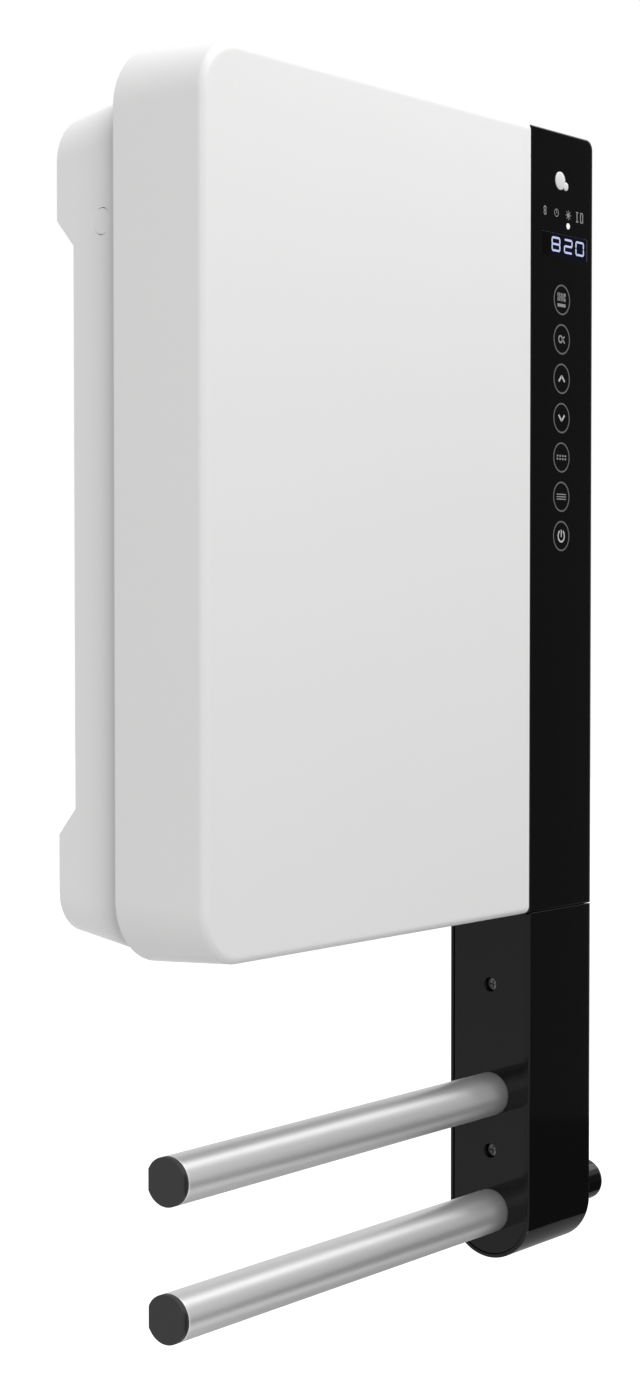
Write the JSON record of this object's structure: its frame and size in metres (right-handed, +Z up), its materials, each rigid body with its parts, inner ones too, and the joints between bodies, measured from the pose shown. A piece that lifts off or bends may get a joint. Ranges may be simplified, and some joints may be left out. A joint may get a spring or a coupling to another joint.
{
  "type": "bathroom wall fan heater with towel bars",
  "caption": "Flat wall-hung bathroom fan heater: white front cover, black touch control column with display, towel bars and a robe peg below.",
  "frame": {"origin": "centre of the wall bracket's back face", "axes": "+Z up, +Y into the wall, +X to the right as seen from the front"},
  "size_m": [0.3967, 0.1118, 0.6562],
  "materials": {
    "white_shell": "satin white",
    "gloss_black": "polished black",
    "dark_plastic": "satin dark grey",
    "brushed_tube": "satin brushed",
    "zinc_steel": "zinc plated",
    "smoked_window": "smoked window",
    "milky_lens": "milky lens",
    "circuit_board": "solder mask",
    "copper_wire": "enamelled copper",
    "motor_steel": "stamped laminations",
    "wheel_plastic": "moulded",
    "fin_aluminium": "folded strip",
    "heater_mount": "heat-resistant moulding",
    "rubber_grommet": "soft black",
    "filter_net": "grey frame",
    "terminal_plastic": "moulded"
  },
  "bodies": {
    "housing": {"front_cover": "white_shell", "rear_casing": "white_shell", "outlet_grille": "gloss_black", "wall_bracket": "zinc_steel", "side_cap_left": "white_shell", "side_cap_right": "white_shell", "side_screw_left": "zinc_steel", "side_screw_right": "zinc_steel", "rear_screw_left": "zinc_steel", "rear_screw_right": "zinc_steel", "cable_grommet": "rubber_grommet", "control_panel": "gloss_black", "display_window": "smoked_window", "display_module": "dark_plastic", "touch_foil": "copper_wire", "control_board": "circuit_board", "sensor_lens": "milky_lens", "light_sensor_lens": "milky_lens", "status_light": "milky_lens", "column_cover": "gloss_black", "column_side_plate": "gloss_black", "plate_screw_upper": "zinc_steel", "plate_screw_lower": "zinc_steel", "column_carrier": "zinc_steel", "carrier_screw_upper": "zinc_steel", "carrier_screw_lower": "zinc_steel", "towel_bar_upper": "brushed_tube", "bar_cap_upper": "dark_plastic", "bar_socket_upper": "zinc_steel", "towel_bar_lower": "brushed_tube", "bar_cap_lower": "dark_plastic", "bar_socket_lower": "zinc_steel", "upper_bar_bolt": "zinc_steel", "lower_bar_stud": "zinc_steel", "lower_stud_nut": "zinc_steel", "robe_peg": "gloss_black", "rear_guide": "zinc_steel", "front_guide": "zinc_steel", "end_plate_left": "zinc_steel", "end_plate_right": "zinc_steel", "wheel_bearing": "rubber_grommet", "motor_stator": "motor_steel", "motor_coil": "copper_wire", "motor_bridge_left": "zinc_steel", "motor_bridge_right": "zinc_steel", "heater_frame": "heater_mount", "heater_fins_1": "fin_aluminium", "heater_fins_2": "fin_aluminium", "heater_fins_3": "fin_aluminium", "heater_element_1": "fin_aluminium", "heater_element_2": "fin_aluminium", "thermal_cutout": "dark_plastic", "power_board": "circuit_board", "terminal_block": "terminal_plastic", "power_relay": "dark_plastic", "power_capacitor": "dark_plastic"},
    "rotor": {"fan_wheel": "wheel_plastic", "motor_shaft": "zinc_steel", "motor_rotor": "motor_steel"},
    "filter": {"dust_filter": "filter_net"}
  },
  "joints": [
    {"name": "fan_spin", "type": "hinge", "parent": "housing", "child": "rotor", "pos_m": [-0.03, -0.078, -0.299], "axis": [1, 0, 0], "continuous": true},
    {"name": "filter_slide", "type": "slide", "parent": "housing", "child": "filter", "axis": [0, 0, 1], "range_m": [0, 0.265]}
  ]
}
